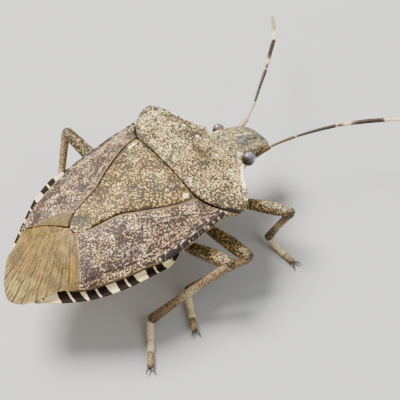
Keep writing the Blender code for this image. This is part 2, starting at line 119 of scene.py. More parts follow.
# Outlines of the body
backHeight = curveThrough(
    (2.3, 4.3), (3.4, 4.95), (4.6, 5.55), (6, 5.8), (8, 5.75), (10, 5.55), (11.6, 5.3), (13, 4.8),
    (14.5, 4.25), (16, 3.8))
edgeHeight = curveThrough(
    (5.0, 4.75), (5.5, 4.62), (7, 4.57), (8, 4.47), (11, 4.45), (12, 4.4), (12.8, 4.25),
    (13.4, 4.12), (16, 3.75))
crownHalf = curveThrough(
    (2.3, 1.8), (4.4, 4.5), (8, 4.3), (10, 4.05), (12, 3.45), (13.4, 2.8), (16, 2.2))
sideMargin = curveThrough(
    (2.42, 1.7), (2.68, 2.02), (2.9, 2.33), (3.17, 2.77), (3.43, 3.27), (3.73, 3.86), (4.03, 4.24),
    (4.33, 4.38), (4.7, 4.33))
marginHeight = curveThrough(
    (2.42, 4.27), (2.68, 4.42), (2.9, 4.5), (3.17, 4.73), (3.43, 4.9), (4.03, 5.0), (4.33, 4.88),
    (4.7, 4.8))
wingHalf = curveThrough(
    (5.0, 4.0), (7, 4.12), (8.75, 4.12), (9.4, 4.04), (10, 3.89), (10.7, 3.73), (11.3, 3.56),
    (12.3, 3.18), (12.8, 2.9), (13.4, 2.42), (13.8, 2.05), (14.4, 1.8), (14.9, 1.55), (15.2, 1.28),
    (15.6, 0.9), (15.85, 0.5), (16.0, 0.15))
abdomenHalf = curveThrough(
    (7.9, 3.9), (8.35, 4.05), (9.05, 4.24), (9.84, 4.17), (10.75, 4.07), (11.55, 3.88),
    (12.3, 3.54), (13, 3.14), (13.6, 2.7), (14.1, 2.3), (14.75, 1.62))
scutellumHalf = curveThrough(
    (5.6, 2.66), (6.2, 2.56), (6.7, 2.47), (7.4, 2.19), (8.1, 1.83), (8.8, 1.43), (9.45, 1.06),
    (10.3, 0.84), (11.1, 0.65), (11.5, 0.42), (11.72, 0.1))
bellyHeight = curveThrough(
    (2.4, 2.5), (3.4, 1.95), (7.7, 1.85), (9, 1.65), (10.5, 1.7), (12, 2.0), (13.3, 2.4),
    (14.3, 2.75), (15.2, 3.1))
rimHeight = curveThrough(
    (7.9, 4.0), (9.05, 4.05), (9.84, 4.1), (10.5, 4.14), (11.55, 4.12), (12.3, 3.98), (13, 3.88),
    (14.1, 3.76), (14.75, 3.66), (15.2, 3.6))
segmentEnds = (8.05, 9.58, 11.08, 12.44, 13.56)  # seams between the rings of the abdomen
abdomenEnd = 14.75
# the bug's left side isn't quite its right side turned over
leftTuck = curveThrough((9.0, 0), (9.9, 0.09), (11.4, 0.15), (12.8, 0.1), (13.4, 0))
leftRim = curveThrough(
    (8.4, 0), (9.4, 0.12), (10.4, 0.15), (11.2, 0.02), (12.3, -0.06), (13.2, -0.12), (14.75, 0))
leftLag = curveThrough((8.05, 0), (9.58, -0.38), (11.08, -0.28), (12.44, -0.16), (13.56, -0.11))


def wingEdge(sign, s):
    return wingHalf(s) - (leftTuck(s) if sign > 0 else 0.0)


def rimEdge(sign, s):
    return abdomenHalf(s) + (leftRim(s) if sign > 0 else 0.0)


def seamDistance(x, s):  # to the nearest seam between two rings of the abdomen
    return min(abs(s - end - leftLag(end) * ramp(0, 3, x)) for end in segmentEnds)


def backSurface(x, s):
    out = min(abs(x) / crownHalf(s), 1.0)
    return backHeight(s) - (backHeight(s) - edgeHeight(s)) * out ** 2.2


def wingDrift(s):  # the closed wing tips lie a little over to the right
    return 0.4 * max(0.0, (s - 14.8) / 1.2) ** 0.8


print("outlines ready")


# Shader maths
def arithmetic(operation, turned=False):  # makes a method that works on a socket and a value
    def method(self, other):
        pair = (other, self) if turned else (self, other)
        return self.paint.node("ShaderNodeMath", dict(operation=operation), pair)
    return method


class Wire:  # a socket that can be used in Python expressions
    __add__ = __radd__ = arithmetic("ADD")
    __sub__ = arithmetic("SUBTRACT")
    __rsub__ = arithmetic("SUBTRACT", turned=True)
    __mul__ = arithmetic("MULTIPLY")
    least = arithmetic("MINIMUM")
    most = arithmetic("MAXIMUM")

    def __init__(self, paint, socket):
        self.paint = paint
        self.socket = socket

    def between(self, low, high):  # 0 at low, 1 at high, smooth between
        settings = dict(interpolation_type="SMOOTHSTEP")
        values = {"Value": self, "From Min": low, "From Max": high}
        return self.paint.node("ShaderNodeMapRange", settings, values, "Result")


class Paint:  # one material being made, from a first colour with others over it
    def __init__(self, name, base, **fixed):
        self.base = base
        self.material = bpy.data.materials.new(name)
        self.material.use_nodes = True
        self.tree = self.material.node_tree
        self.shader = self.tree.nodes["Principled BSDF"]
        for socket, value in fixed.items():
            self.shader.inputs[socket.replace("_", " ")].default_value = value
        self.spot = self.node("ShaderNodeTexCoord", {}, {}, "Object")

    def node(self, kind, settings, values, output=0):
        made = self.tree.nodes.new(kind)
        for key, value in settings.items():
            setattr(made, key, value)
        pairs = values.items() if isinstance(values, dict) else enumerate(values)
        for key, value in pairs:
            socket = made.inputs[key]
            if isinstance(value, Wire):
                self.tree.links.new(value.socket, socket)
            else:
                socket.default_value = (*value, 1.0) if socket.type == "RGBA" else value
        return Wire(self, made.outputs[output])

    def feed(self, socket, wire):
        self.tree.links.new(wire.socket, self.shader.inputs[socket])

    def mark(self, name):
        return self.node("ShaderNodeAttribute", dict(attribute_name=name), {}, "Fac")

    def blend(self, a, b, factor):
        return self.node("ShaderNodeMix", dict(data_type="RGBA"), {0: factor, 6: a, 7: b}, 2)

    def coat(self, tint, amount):  # one more colour over those so far
        self.base = self.blend(self.base, tint, amount)

    def noise(self, size, detail=2.0, vector=None, output="Fac"):
        values = {"Vector": vector or self.spot, "Scale": 1 / (size * mm), "Detail": detail}
        return self.node("ShaderNodeTexNoise", {}, values, output)

    def vector(self, operation, values):
        return self.node("ShaderNodeVectorMath", dict(operation=operation), values)

    def warped(self, size, amount):  # the object's own coordinates, wobbling by that amount
        wobble = self.noise(size, 1.0, output="Color")
        centred = self.vector("SUBTRACT", [wobble, (0.5, 0.5, 0.5)])
        scaled = self.vector("SCALE", {0: centred, "Scale": amount * mm})
        return self.vector("ADD", [self.spot, scaled])

    def drawnOut(self, times):  # the object's own coordinates, drawn out along the body
        values = {"Vector": self.spot, "Scale": (1.0, 1 / times, 1.0)}
        return self.node("ShaderNodeMapping", {}, values)

    def cells(self, size, vector=None, spread=1.0):
        values = {"Vector": vector or self.spot, "Scale": 1 / (size * mm), "Randomness": spread}
        return self.node("ShaderNodeTexVoronoi", {}, values, "Distance")

    def done(self, roughness, height=None, depth=0.0):  # relief as high as that depth
        self.feed("Base Color", self.base)
        self.feed("Roughness", roughness)
        if height:
            values = {"Strength": 1.0, "Distance": depth * mm, "Height": height}
            self.feed("Normal", self.node("ShaderNodeBump", {}, values))
        return self.material


# what the looks of the shell plates share
shellLook = dict(
    pitSize=0.096, mazeSize=0.085, maze=0.68, denser=0.12, pitShade=0.95, veil=0.3, relief=0.04,
    blotchSize=0.8, blotch=0.9, shine=0.3, clump=0.0)


def shellMaterial(name, look):
    # horny shell with a maze of dark punctures; marks painted by attributes change ground and pits
    paint = Paint(name, look["ground"], Metallic=0.0, Specular_IOR_Level=look["shine"])
    fine = paint.noise(0.12)
    ragged = (fine - 0.5) * 0.6
    paint.coat(look["groundToo"], paint.noise(look["cloudSize"], 3.0).between(0.38, 0.62))
    paint.coat(look["groundToo"], paint.noise(0.3, 1.0).between(0.45, 0.65) * 0.7)
    paint.coat(look["rust"], (paint.mark("rust") + ragged * 0.5).least(1.0))
    paint.coat(look["cool"], (paint.mark("cool") + ragged * 1.5).between(0.2, 0.9) * 0.8)
    pale = (paint.mark("pale") + ragged * 0.6).between(0.35, 0.6)
    paint.coat(look["pale"], pale)
    smooth = paint.mark("smooth").most(pale)
    blotch = paint.noise(look["blotchSize"], 3.0).between(0.45, 0.7)
    dense = blotch * look["blotch"] + paint.mark("dense")
    maze = (paint.noise(look["mazeSize"], 0.0) - 0.5) * look["maze"]
    level = paint.cells(look["pitSize"], paint.warped(0.3, 0.07), spread=0.85) + maze
    clumps = (paint.noise(0.27, 1.0) - 0.5) * look["clump"]
    edge = look["cover"] + clumps + dense * look["denser"] - smooth * 0.8
    pits = 1 - (level - edge).between(-0.06, 0.06)
    pitColour = paint.blend(look["pit"], look["pitToo"], paint.noise(0.6).between(0.45, 0.6))
    shade = pits * look["pitShade"] + dense * look["veil"] * (1 - smooth)
    paint.coat(pitColour, shade.least(1.0))
    paint.coat(look["dark"], (paint.mark("dark") + ragged * 0.5).between(0.35, 0.62))
    roughness = 0.45 + fine * 0.2 + pits * 0.1 + smooth * 0.2
    return paint.done(roughness, (1 - pits) * 0.8 + fine * 0.2, look["relief"])


# Modelling helpers
def addThing(name, data):
    thing = bpy.data.objects.new(name, data)
    bpy.context.scene.collection.objects.link(thing)
    return thing


def meshData(mesh, name, material):
    data = bpy.data.meshes.new(name)
    mesh.to_mesh(data)
    mesh.free()
    data.materials.append(material)
    return data


def finish(mesh, name, material, instead=(), smooth=0.7):
    bmesh.ops.recalc_face_normals(mesh, faces=mesh.faces)
    if mesh.calc_volume(signed=True) < 0:
        bmesh.ops.reverse_faces(mesh, faces=mesh.faces)
    data = meshData(mesh, name, material)
    data.shade_smooth()
    data.set_sharp_from_angle(angle=smooth)
    piece = addThing(name, data)
    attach(piece, "root")
    if instead:
        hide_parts(*instead)
    print("made", name, len(data.polygons))


def paintMarks(mesh, marks):
    # marks gives each mark at (x, s, z, u, v); u and v are the shape's own shares, from 0 to 1
    floats = mesh.verts.layers.float
    across, along = floats["across"], floats["along"]
    rows = [marks(*unplace(vert.co), vert[across], vert[along]) for vert in mesh.verts]
    for name in rows[0]:
        layer = floats.new(name)
        for vert, row in zip(mesh.verts, rows):
            vert[layer] = row[name]


def startMesh():  # with layers for each vert's share across and along its shape
    mesh = bmesh.new()
    layers = mesh.verts.layers.float
    layers.new("across")
    layers.new("along")
    return mesh, layers["across"], layers["along"]


def plate(across, along, top, depth):
    # closed plate from a grid: top(u, v) is its upper face, depth(u, v) its thickness
    mesh, acrossLayer, alongLayer = startMesh()
    bmesh.ops.create_grid(mesh, x_segments=across, y_segments=along, size=1)
    for vert in mesh.verts:
        vert[acrossLayer] = (vert.co.x + 1) / 2
        vert[alongLayer] = (vert.co.y + 1) / 2
    upper = list(mesh.verts)
    made = bmesh.ops.extrude_face_region(mesh, geom=list(mesh.faces), use_keep_orig=True)["geom"]
    lower = [g for g in made if isinstance(g, bmesh.types.BMVert)]
    for verts, sinks in ((upper, False), (lower, True)):
        for vert in verts:
            u, v = vert[acrossLayer], vert[alongLayer]
            x, s, z = top(u, v)
            vert.co = place(x, s, z - depth(u, v) if sinks else z)
    return mesh


def evenPlate(p, top):  # of one thickness, with the sizes in a piece's dictionary
    return plate(p["across"], p["along"], top, lambda u, v: p["thickness"])


def skin(rings):
    # closed body over rings of places, each ring in the same order
    mesh, acrossLayer, alongLayer = startMesh()
    number = mesh.verts.layers.int.new("number")
    count = len(rings[0])
    first = bmesh.ops.create_circle(mesh, segments=count, radius=1)["verts"]
    for i, vert in enumerate(first):
        vert[number] = i
        vert[acrossLayer] = i / count
        vert.co = place(*rings[0][i])
    edges = list(mesh.edges)
    for k, ring in enumerate(rings[1:], 1):
        grown = bmesh.ops.extrude_edge_only(mesh, edges=edges)["geom"]
        verts = {g for g in grown if isinstance(g, bmesh.types.BMVert)}
        edges = [g for g in grown if isinstance(g, bmesh.types.BMEdge) and set(g.verts) <= verts]
        for vert in verts:
            vert[alongLayer] = k / (len(rings) - 1)
            vert.co = place(*ring[vert[number]])
    bmesh.ops.edgeloop_fill(mesh, edges=[edge for edge in mesh.edges if edge.is_boundary])
    return mesh


def tubeRings(path, radii, count):  # rings round a path of places
    points = [Vector(p) for p in path]
    rings = []
    side = None
    for i, (point, radius) in enumerate(zip(points, radii)):
        ahead = (points[min(i + 1, len(points) - 1)] - points[max(i - 1, 0)]).normalized()
        if side is None:
            side = ahead.cross(Vector((0, 0, 1)))
            side = side.normalized() if side.length > 0.1 else ahead.orthogonal().normalized()
        side = (side - ahead * side.dot(ahead)).normalized()
        other = ahead.cross(side)
        turns = [2 * pi * k / count for k in range(count)]
        spokes = [side * cos(turn) + other * sin(turn) for turn in turns]
        rings.append([tuple(point + spoke * radius) for spoke in spokes])
    return rings


def joinShapes(shapes):
    # several closed shapes in one mesh, each keeping its own marks
    joined = bmesh.new()
    for shape in shapes:
        data = bpy.data.meshes.new("part")
        shape.to_mesh(data)
        shape.free()
        joined.from_mesh(data)
        bpy.data.meshes.remove(data)
    return joined


# Pronotum
pronotumLook = dict(
    shellLook, ground=(1.0, 0.79, 0.36), groundToo=(0.68, 0.48, 0.2), rust=(0.5, 0.3, 0.1),
    pale=(1.0, 0.86, 0.6), pit=(0.055, 0.035, 0.016), dark=(0.03, 0.02, 0.014),
    cool=(0.26, 0.25, 0.2), pitToo=(0.048, 0.038, 0.025), cover=0.54, cloudSize=1.1,
    blotchSize=0.9, clump=0.4)
pronotum = dict(
    front=2.66, end=5.9, shoulder=(4.33, 4.7), frontCorner=(1.7, 2.42), thickness=0.16, teeth=17,
    toothDepth=0.045, across=220, along=110)


def rearMargin(x):
    inner, (outer, outerS), end = 2.3, pronotum["shoulder"], pronotum["end"]
    out = max(0.0, (abs(x) - inner) / (outer - inner))
    return end - (end - outerS) * min(out, 1.0) ** 1.7


def pronotumTop(u, v):
    p = pronotum
    side = 2 * u - 1
    out = abs(side)
    frontS = p["front"] - (p["front"] - p["frontCorner"][1]) * out ** 2
    rearS = rearMargin(p["shoulder"][0] * side)
    x = sideMargin(mix(p["frontCorner"][1], p["shoulder"][1], v)) * side
    tooth = (v * p["teeth"]) % 1.0
    serrated = ramp(0.02, 0.08, v) * fade(0.6, 0.8, v)
    x += p["toothDepth"] * (tooth - 0.6) * serrated * out ** 40 * (1 if side > 0 else -1)
    s = mix(frontS, rearS, v)
    middle = backHeight(mix(p["front"], p["end"], v))
    edge = marginHeight(mix(p["frontCorner"][1], p["shoulder"][1], v))
    z = middle - (middle - edge) * out ** mix(2.6, 2.0, v)
    z += 0.07 * bump(1.15, 0.75, abs(x)) * bump(3.45, 0.45, s)  # the two calli behind the head
    z += 0.05 * (out ** 30) * fade(0.75, 1.0, v)  # turned-up side edge
    z -= 0.05 * bump(3.95, 0.35, s) * fade(2.4, 3.4, abs(x))
    z += 0.03 * grain(x, s, 0, 1.3) + 0.012 * grain(x, s, 0, 0.4)
    z -= 0.06 * ramp(0.95, 1.0, v) ** 2 + 0.12 * fade(0.0, 0.05, v) ** 2  # edges roll down
    return x, s, z


def makePronotum():
    mesh = evenPlate(pronotum, pronotumTop)
    callusSpots = [(x, 3.37 + 0.03 * abs(x)) for x in (-2.02, -0.85, 0.85, 2.02)]

    def marks(x, s, z, u, v):
        side = 2 * u - 1
        out = abs(side)
        edge = ramp(0.93, 0.965, out) if x < 0 else 0.6 * ramp(0.95, 0.98, out)
        edge *= fade(0.4, 0.6, v) * (0.85 + 0.7 * grain(x, s, z, 0.16))
        calli = spotsAt(callusSpots, x, s, 0.17)
        front = 0.7 * bump(0.02, 0.03, v) * ramp(-0.3, 0.2, grain(x, s, 0, 0.6, 1.0))
        darkCorner = ramp(0.86, 1.0, v) * ramp(0.8, 0.97, out) * (0.9 if side < 0 else 0.5)
        hem = 0.9 * ramp(0.965, 0.98, v) * ramp(0.3, 0.8, out)
        behindHead = 0.8 * spot(x - 0.1, (s - 2.95) / 0.6, 0.5)
        middle = spot(x, (s - 5.75) / 0.7, 0.55)
        coolCorner = ramp(0.8, 0.95, v) * ramp(0.72, 0.95, out) * 0.7
        shoulder = ramp(0.55, 0.95, v) * ramp(0.5, 0.9, -side)
        return dict(
            pale=max(edge, calli * 1.2, front),
            # painted shadow: the dark line along the rear edge stands for the shade in the gap over
            # the plates behind
            dark=max(darkCorner, 0.65 * ramp(0.988, 0.996, v)),
            rust=max(hem, behindHead, 0.5 * ramp(0.0, 0.5, grain(x, s, 0, 1.5, 6.4))),
            cool=max(middle * 0.8, coolCorner, 0.6 * ramp(0.2, 0.5, grain(x, s, 0, 0.7, 9.9))),
            dense=max(0.6 * ramp(0.05, 0.45, grain(x, s, 0, 1.0, 3.1)), shoulder,
                      0.5 * ramp(0.9, 1.0, v)))

    paintMarks(mesh, marks)
    finish(mesh, "pronotum_shield", shellMaterial("pronotum shell", pronotumLook),
           instead=["pronotum"])


# Scutellum
scutellumLook = dict(
    shellLook, ground=(0.86, 0.6, 0.17), groundToo=(0.58, 0.38, 0.11), rust=(0.44, 0.24, 0.06),
    pale=(1.0, 0.84, 0.5), pit=(0.045, 0.025, 0.007), dark=(0.035, 0.022, 0.012),
    cool=(0.28, 0.26, 0.19), pitToo=(0.038, 0.03, 0.018), cover=0.58, cloudSize=1.2, clump=0.25)
scutellum = dict(start=5.6, tip=11.72, thickness=0.14, rise=0.05, across=150, along=170)


def scutellumTop(u, v):
    p = scutellum
    side = 2 * u - 1
    s = mix(p["start"], p["tip"], sin(v * pi / 2) ** 0.9)
    x = scutellumHalf(s) * side - 0.15 * ramp(10.8, 11.7, s)
    z = backSurface(x, s) + p["rise"] * (1 - abs(side) ** 6) + 0.02
    z -= 0.1 * abs(side) ** 20 + 0.3 * fade(5.84, 6.1, s)
    z += 0.035 * grain(x, s, 2, 1.4) + 0.012 * grain(x, s, 2, 0.4)
    return x, s, z


def makeScutellum():
    mesh = evenPlate(scutellum, scutellumTop)

    def marks(x, s, z, u, v):
        calli = max(spot((x + 2.3) / 0.9, (s - 6.3) / 1.4, 0.2),
                    spot((x - 2.1) / 0.7, (s - 6.5) / 2.2, 0.2))
        # painted shade: dark lines along the side edges, where the scutellum meets the wings in a
        # groove
        edge = ramp(0.93, 0.97, abs(2 * u - 1)) * 0.85 * ramp(6.3, 7.0, s)
        # painted shadow just behind the pronotum's rear edge
        front = 0.9 * fade(0.04, 0.1, s - rearMargin(x))
        pit = 0.9 * spot(abs(x) - 1.95, s - 6.22, 0.2)
        tip = spot(x + 0.1, (s - 11.1) / 0.8, 0.75)
        left = spot(x - 1.5, (s - 6.9) / 1.2, 0.9)
        middle = spot(x, (s - 6.1) / 0.8, 0.5)
        right = spot(x + 1.55, s - 6.25, 0.5)
        patch = spot(x, (s - 11.1) / 1.3, 0.5)
        blots = spotsAt(((0.95, 7.5), (-0.3, 8.1), (0.4, 6.7), (-1.1, 7.3)), x, s, 0.45)
        return dict(
            pale=max(calli * 1.3, 0.44 * ramp(11.3, 11.6, s)),
            # the dark line round the tip is painted shade at its border with the wings
            dark=max(edge, front, 0.85 * ramp(11.62, 11.68, s), pit),
            rust=0.7 * ramp(-0.1, 0.4, grain(x, s, 0, 1.6, 5.0)) * fade(8.5, 10.5, s),
            cool=max(tip, 0.7 * left, middle, right),
            dense=max(0.7 * patch, blots, 0.5 * ramp(0.1, 0.45, grain(x, s, 0, 1.1, 7.7))))

    paintMarks(mesh, marks)
    finish(mesh, "scutellum_shield", shellMaterial("scutellum shell", scutellumLook),
           instead=["scutellum"])


# Leathery part of the fore wings
coriumLook = dict(
    shellLook, ground=(0.84, 0.58, 0.3), groundToo=(0.5, 0.29, 0.15), rust=(0.105, 0.068, 0.021),
    pale=(0.74, 0.57, 0.33), pit=(0.036, 0.02, 0.012), dark=(0.03, 0.02, 0.016),
    cool=(0.06, 0.06, 0.065), pitToo=(0.03, 0.022, 0.024), pitSize=0.09, cover=0.56, denser=0.1,
    veil=0.42, cloudSize=0.9, blotch=1.0, maze=0.6)
corium = dict(
    corner=(2.45, 13.4), sutureStart=(0.72, 11.55), thickness=0.12, tuck=0.08, underPronotum=0.35,
    across=130, along=190, veins=(0.4, 0.7))
hemLine = curveThrough(
    (0.7, 11.1), (1.1, 11.33), (1.37, 11.72), (1.6, 12.25), (1.87, 12.71), (2.09, 13.19),
    (2.45, 13.4))
clavalOffset = curveThrough(
    (5.9, 1.0), (6.6, 0.67), (7.3, 0.54), (7.9, 0.5), (8.9, 0.42), (11, 0.3))


def coriumTop(u, v):
    p = corium
    front = rearMargin(mix(2.6, 3.72, u)) - p["underPronotum"] * (1 - u)
    rear = mix(p["sutureStart"][1], p["corner"][1], u ** 0.9)
    s = mix(front, rear, v)
    inner = scutellumHalf(s) - p["tuck"]
    x = mix(inner, wingHalf(s), u)
    z = backSurface(x, s)
    for vein in p["veins"]:
        z += 0.03 * bump(vein, 0.05, u) * ramp(0.05, 0.15, v) * fade(0.7, 0.85, v)
    z += 0.04 * bump(0.93, 0.05, u) - 0.05 * bump(0.88, 0.06, u) * ramp(0.1, 0.3, v)
    z += 0.02 * ramp(0.965, 1.0, v) - 0.12 * fade(0.0, 0.05, u)
    z -= 0.25 * fade(-0.05, 0.2, s - rearMargin(x))
    z -= 0.1 * ramp(0.98, 1.0, u) ** 2 + 0.05 * ramp(0.97, 1.0, v)
    z += 0.03 * grain(x, s, 4, 1.2) + 0.012 * grain(x, s, 4, 0.4)
    return x, s, z


def makeCorium(side, sign):
    p = corium

    def top(u, v):
        x, s, z = coriumTop(u, v)
        x -= (wingHalf(s) - wingEdge(sign, s)) * u ** 2
        return sign * x, s, z

    def depth(u, v):  # thinner at the outer and rear edges
        return p["thickness"] * (1 - 0.6 * max(ramp(0.9, 1, u), ramp(0.93, 1, v)))

    mesh = plate(p["across"], p["along"], top, depth)

    def marks(x, s, z, u, v):
        out = abs(x) - scutellumHalf(min(s, scutellum["tip"]))  # distance from the scutellum
        inward = wingEdge(sign, s) - abs(x)  # distance from the wing's outer edge
        # dark, white-flecked strip along the base of the outer edge
        strip = fade(0.26, 0.33, inward) * fade(8.9, 9.8, s)
        flecks = strip * ramp(0.1, 0.3, grain(x, s, 0, 0.13, 6.0))
        black = 0.95 * strip * ramp(-0.3, -0.05, grain(x, s, 0, 0.16, 2.0))
        # smooth, clear border at the rear, and strips along the scutellum and the outer edge
        hem = ramp(-0.03, 0.03, s - hemLine(x)) if sign > 0 else fade(0.22, 0.28, (1 - v) * 7)
        onFront = fade(10.5, 11.3, s)
        outer = fade(0.02, 0.05, inward) * ramp(8.9, 9.8, s)
        veins = 0.5 * max(bump(vein, 0.014, u) for vein in p["veins"])
        veins *= ramp(0.02, 0.1, v) * fade(0.5, 0.75, v)
        claval = bump(clavalOffset(s), 0.055, out) * fade(9.0, 9.8, s)
        shadow = 0.95 * bump(clavalOffset(s) + 0.075, 0.045, out) * fade(9.0, 9.8, s)
        costal = 0.57 * bump(0.5, 0.05, inward) * ramp(6.3, 7.0, s) * fade(10.5, 11.5, s)
        broken = 0.85 + 0.6 * grain(x, s, 0, 0.3, 4.0)
        # painted shade in the groove along the scutellum's edge
        grooveShade = 0.85 * fade(0.03, 0.08, out) * fade(0.9, 0.97, v)
        # painted shadow just behind the pronotum's rear edge
        shieldShadow = 0.9 * fade(0.05, 0.12, s - rearMargin(x))
        edge = 0.6 * ramp(0.993, 0.998, u) + 0.6 * ramp(0.993, 0.998, v) * (sign < 0)
        nearTip = 0.6 * spot(x - 0.62, (s - 11.3) / 1.3, 0.6) * (1 - 0.3 * hem)
        base = 0.9 * spot(abs(x) - 3.1, s - 5.9, 0.7)
        spots = ((3.2, 10.4), (2.5, 9.6), (2.9, 11.5), (1.9, 11), (3, 12.3))
        blots = spotsAt(spots, abs(x), s, 0.5)
        return dict(
            pale=max(veins, flecks, 0.65 * claval * broken, costal * broken),
            dark=max(grooveShade, black, shieldShadow, edge, shadow),
            rust=max(0.9 * fade(0.14, 0.22, out) * onFront, outer, base,
                     hem * (0.97 + 0.1 * grain(x, s, 0, 0.22, 5.0))),
            cool=max(strip, nearTip, 0.7 * ramp(0.2, 0.45, grain(abs(x), s, 0, 0.7, 4.0))),
            dense=max(0.8 * ramp(0.15, 0.45, grain(abs(x), s, 0, 0.8, 1.7)), 0.8 * blots),
            smooth=max(0.7 * fade(0.12, 0.18, out) * onFront, 0.8 * fade(0.02, 0.04, inward),
                       hem, 0.6 * strip))

    paintMarks(mesh, marks)
    finish(mesh, f"corium_leather_{side}", shellMaterial(f"corium {side}", coriumLook),
           instead=[f"corium_{side}"])


print("shell plates next")
makePronotum()
makeScutellum()
bothSides(makeCorium)


# Clear rear part of the fore wings
membraneLook = dict(
    ground=(0.15, 0.088, 0.012), amber=(0.36, 0.2, 0.028), pale=(0.4, 0.31, 0.055),
    streak=(0.035, 0.018, 0.004), veinColour=(0.045, 0.024, 0.006))
membrane = dict(
    start=11.3, across=200, along=110, thickness=0.035, veinRise=0.02, veinsPerTurn=215,
    fan=(3, 8.8))


def membraneMaterial():
    look = membraneLook
    paint = Paint("wing membrane", look["ground"], Specular_IOR_Level=0.3)
    vein = paint.mark("vein")
    cloud = paint.noise(0.7, 3.0)
    threads = paint.noise(0.08, 2.0, paint.drawnOut(8)).between(0.5, 0.68)
    streaks = paint.noise(0.06, 3.0, paint.drawnOut(12)).between(0.42, 0.66)
    paint.coat(look["amber"], cloud.between(0.35, 0.65))
    paint.coat(look["pale"], paint.mark("pale"))
    paint.coat(look["pale"], threads * 0.6)
    paint.coat(look["streak"], streaks * 0.6)
    paint.coat(look["streak"], paint.noise(0.8, 3.0).between(0.5, 0.7) * 0.3)
    paint.coat(look["veinColour"], (vein * 1.6).least(0.95))
    paint.coat(look["streak"], paint.mark("dark"))
    paint.feed("Alpha", (0.8 + streaks * 0.12 + vein * 0.2 + paint.mark("thick") * 0.2).least(1.0))
    return paint.done(0.42 + cloud * 0.2, streaks * 0.4 + vein * 0.6, 0.02)


def besideCorium(s):  # how far out the membrane's front edge lies at a place along the body
    start, corner = corium["sutureStart"], corium["corner"]
    return mix(start[0], corner[0], (s - start[1]) / (corner[1] - start[1])) + 0.12


def veinPhase(x, s):  # counts the veins, which fan out from a place beside the scutellum
    fanX, fanS = membrane["fan"]
    turn = atan2(fanX - x, s - fanS)
    return turn * membrane["veinsPerTurn"] / (2 * pi) + 0.5 * grain(x, s, 0, 0.6, 3.3)


def membraneShape(side, sign):
    p = membrane
    upper = side == "right"
    tip = bodyLength if upper else 15.75
    innerEdge = curveThrough((11.3, 0.1), (12.1, 0.35), (12.5, 0.75), (13.1, 0.8), (13.7, 0.62),
                             (14.4, 0.55), (16, 0.6))

    def spread(s):
        outer = min(besideCorium(s), wingHalf(s) - sign * wingDrift(s))
        if upper:
            return min(innerEdge(s), wingHalf(s) - wingDrift(s)), -outer
        hidden = -min(1.2, besideCorium(s) * 0.8, wingHalf(s) + wingDrift(s) - 0.15)
        return max(hidden, -0.3 - 2 * (s - 11.3)), outer

    def top(u, v):
        s = mix(p["start"], tip, sin(v * pi / 2))
        inner, outer = spread(s)
        x = mix(inner, outer, u)
        z = backSurface(x, s) - 0.09 + (0.05 if upper else 0.0)
        z -= 0.12 * fade(11.3, 12.2, s)
        raised = ramp(0.1, 0.25, v) * fade(0.85, 1.0, v)
        z += p["veinRise"] * bump(0.5, 0.3, veinPhase(x, s) % 1.0) * raised
        z += 0.02 * grain(x, s, 9, 0.6)
        return x, s, z
    return top


def makeMembrane(side, sign, material):
    mesh = evenPlate(membrane, membraneShape(side, sign))

    def marks(x, s, z, u, v):
        phase = veinPhase(x, s)
        number = int(phase // 1)
        strength = (0.5, 1.0, 0.4, 0.9, 0.6)[number % 5]
        strength *= 0.8 + 1.1 * grain(x, s, number, 0.45, 8.0)
        vein = bump(0.5, 0.34, phase % 1.0) * strength * ramp(0.0, 0.1, v) * fade(0.85, 0.98, v)
        fold = 0.8 * bump(0, 0.05, x - mix(1.05, 0.6, (s - 13.4) / 0.6)) if 13 < s < 14.3 else 0.0
        suture = 0.7 * bump(0, 0.05, besideCorium(s) + x) * fade(13.3, 13.6, s)
        away = off(x - 0.85, s - 12.0)
        border = 0.25 * fade(0.36, 0.42, away) + 0.6 * bump(0.4, 0.08, away) * ramp(11.9, 12.1, s)
        # distance from the middle of the pale patch at the wing tips
        offTip = off(x + 0.27, s - 15.2) + 0.06 * grain(x, s, 0, 0.4, 2.0)
        tipRing = 0.4 * bump(0.74, 0.09, offTip) * ramp(-0.3, 0.2, grain(x, s, 0, 0.3, 5.0))
        tipSpot = 0.55 * ramp(0.2, 0.45, grain(x, s, 0, 0.28, 6.0)) * fade(0.5, 0.7, offTip)
        tip = fade(0.55, 0.85, offTip + 0.3 * grain(x, s, 0, 0.4, 9.0))
        hem = 0.6 * fade(0.03, 0.08, wingHalf(s) - abs(x + wingDrift(s))) * ramp(13.5, 14.0, s)
        return dict(vein=vein, dark=max(fold, suture, border, tipRing, tipSpot),
                    pale=max(0.8 * tip, hem), thick=fade(11.8, 13.4, s))

    paintMarks(mesh, marks)
    finish(mesh, f"wing_membrane_{side}", material,
           instead=[f"membrane_{side}"])


bothSides(makeMembrane, membraneMaterial())


# Thorax and abdomen under the wings, one skin
bodyLook = dict(
    shellLook, ground=(0.62, 0.46, 0.22), groundToo=(0.5, 0.36, 0.18), rust=(0.6, 0.42, 0.2),
    pale=(0.85, 0.65, 0.33), pit=(0.12, 0.08, 0.05), dark=(0.011, 0.006, 0.004),
    cool=(0.3, 0.3, 0.28), pitToo=(0.1, 0.07, 0.05), pitSize=0.2, mazeSize=0.16, cover=0.3,
    denser=0.1, pitShade=0.75, veil=0.1, relief=0.02, cloudSize=1.5, blotchSize=1.0, blotch=0.3,
    maze=0.9, shine=0.12)
bodyCore = dict(start=2.45, rings=270, topPoints=14, rimPoints=4, underPoints=26, seamDepth=0.05)
rearLobes = curveThrough((0, -0.55), (0.5, -0.3), (1.05, 0.25), (1.4, 0.15), (1.62, 0))


